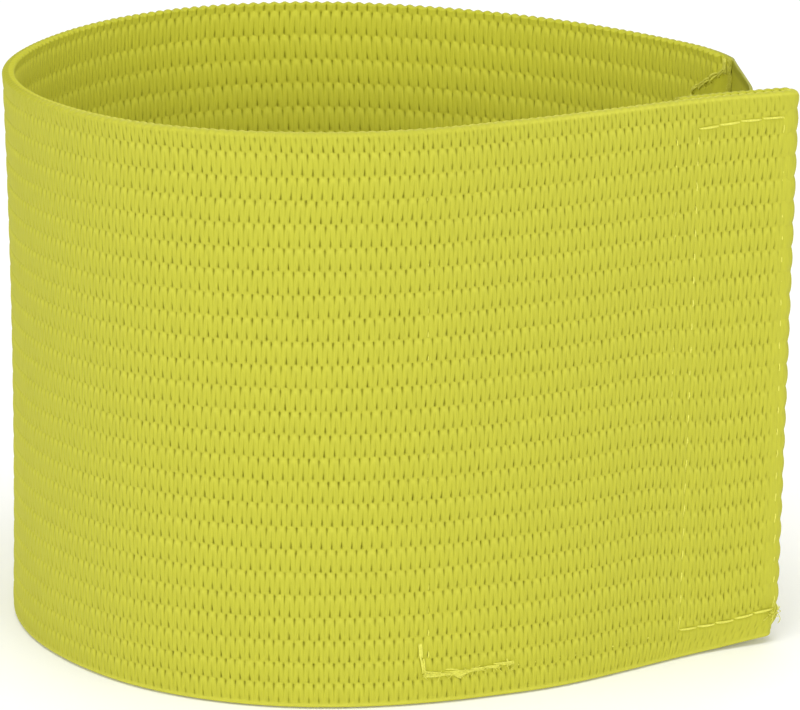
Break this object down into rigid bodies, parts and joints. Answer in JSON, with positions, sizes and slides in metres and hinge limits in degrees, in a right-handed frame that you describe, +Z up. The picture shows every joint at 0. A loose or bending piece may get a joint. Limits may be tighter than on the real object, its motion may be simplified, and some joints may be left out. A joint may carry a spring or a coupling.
{
  "type": "elastic sports armband",
  "caption": "Wide ribbed elastic armband closed as a ring by a hook-and-loop fastener, with a folded hem.",
  "frame": {"origin": "centre of the object's box in plan, on the surface the lower edge stands on", "axes": "+Z up along the band's width; -Y is the front, where the closed flap faces; +X is the side where the flap ends"},
  "size_m": [0.111, 0.11, 0.08],
  "materials": {
    "elastic": "matte knitted lime-yellow elastic with horizontal ribs",
    "loop_patch": "brushed lime-yellow loop pile",
    "hook_tape": "woven lime-yellow tape with moulded hooks",
    "sewing_thread": "light yellow spun polyester thread"
  },
  "bodies": {
    "length_01": {"band_length_01": "elastic"},
    "length_02": {"band_length_02": "elastic"},
    "length_03": {"band_length_03": "elastic"},
    "length_04": {"band_length_04": "elastic"},
    "length_05": {"band_length_05": "elastic"},
    "length_06": {"band_length_06": "elastic"},
    "length_07": {"band_length_07": "elastic"},
    "length_08": {"band_length_08": "elastic"},
    "length_09": {"band_length_09": "elastic"},
    "length_10": {"band_length_10": "elastic", "hook_tape_sewn_end": "hook_tape", "tape_needle_thread": "sewing_thread", "tape_bobbin_thread": "sewing_thread"},
    "flap": {"front_flap": "elastic", "loop_patch": "loop_patch", "hem_needle_thread": "sewing_thread", "hem_bobbin_thread": "sewing_thread", "patch_needle_thread": "sewing_thread", "patch_bobbin_thread": "sewing_thread"},
    "tape_span": {"hook_tape_free_span": "hook_tape"},
    "tape_grip": {"hook_tape_grip": "hook_tape"}
  },
  "joints": [
    {"name": "band_unroll", "type": "hinge", "parent": "length_05", "child": "length_06", "pos_m": [-0.04834, 0.0295, 0.04], "axis": [0, 0, 1], "range_deg": [0, 27]},
    {"name": "band_unroll_06_07", "type": "hinge", "parent": "length_06", "child": "length_07", "pos_m": [-0.03238, 0.04882, 0.04], "axis": [0, 0, 1], "range_deg": [0, 27]},
    {"name": "band_unroll_07_08", "type": "hinge", "parent": "length_07", "child": "length_08", "pos_m": [-0.01785, 0.05464, 0.04], "axis": [0, 0, 1], "range_deg": [0, 27]},
    {"name": "band_unroll_08_09", "type": "hinge", "parent": "length_08", "child": "length_09", "pos_m": [-0.00144, 0.05295, 0.04], "axis": [0, 0, 1], "range_deg": [0, 27]},
    {"name": "band_unroll_09_10", "type": "hinge", "parent": "length_09", "child": "length_10", "pos_m": [0.02978, 0.03327, 0.04], "axis": [0, 0, 1], "range_deg": [0, 27]},
    {"name": "band_unroll_04_05", "type": "hinge", "parent": "length_05", "child": "length_04", "pos_m": [-0.05553, 0.00096, 0.04], "axis": [0, 0, -1], "range_deg": [0, 27]},
    {"name": "band_unroll_03_04", "type": "hinge", "parent": "length_04", "child": "length_03", "pos_m": [-0.04898, -0.02774, 0.04], "axis": [0, 0, -1], "range_deg": [0, 27]},
    {"name": "band_unroll_02_03", "type": "hinge", "parent": "length_03", "child": "length_02", "pos_m": [-0.03376, -0.0469, 0.04], "axis": [0, 0, -1], "range_deg": [0, 27]},
    {"name": "band_unroll_01_02", "type": "hinge", "parent": "length_02", "child": "length_01", "pos_m": [-0.01614, -0.05442, 0.04], "axis": [0, 0, -1], "range_deg": [0, 27]},
    {"name": "closure_peel", "type": "hinge", "parent": "length_01", "child": "flap", "pos_m": [0.00297, -0.05311, 0.04], "axis": [0, 0, -1], "range_deg": [0, 100]},
    {"name": "tape_leave_bend", "type": "hinge", "parent": "length_10", "child": "tape_span", "pos_m": [0.05019, 0.00203, 0.04], "axis": [0, 0, 1], "range_deg": [0, 14.9]},
    {"name": "tape_hem_bend", "type": "hinge", "parent": "tape_span", "child": "tape_grip", "pos_m": [0.05115, -0.0217, 0.04], "axis": [0, 0, 1], "range_deg": [0, 62.3]}
  ],
  "couplings": [
    {"joint": "band_unroll_06_07", "follows": "band_unroll", "ratio": 1},
    {"joint": "band_unroll_07_08", "follows": "band_unroll", "ratio": 1},
    {"joint": "band_unroll_08_09", "follows": "band_unroll", "ratio": 1},
    {"joint": "band_unroll_09_10", "follows": "band_unroll", "ratio": 1},
    {"joint": "band_unroll_04_05", "follows": "band_unroll", "ratio": 1},
    {"joint": "band_unroll_03_04", "follows": "band_unroll", "ratio": 1},
    {"joint": "band_unroll_02_03", "follows": "band_unroll", "ratio": 1},
    {"joint": "band_unroll_01_02", "follows": "band_unroll", "ratio": 1},
    {"joint": "tape_leave_bend", "follows": "closure_peel", "ratio": 0.149},
    {"joint": "tape_hem_bend", "follows": "closure_peel", "ratio": 0.623}
  ]
}
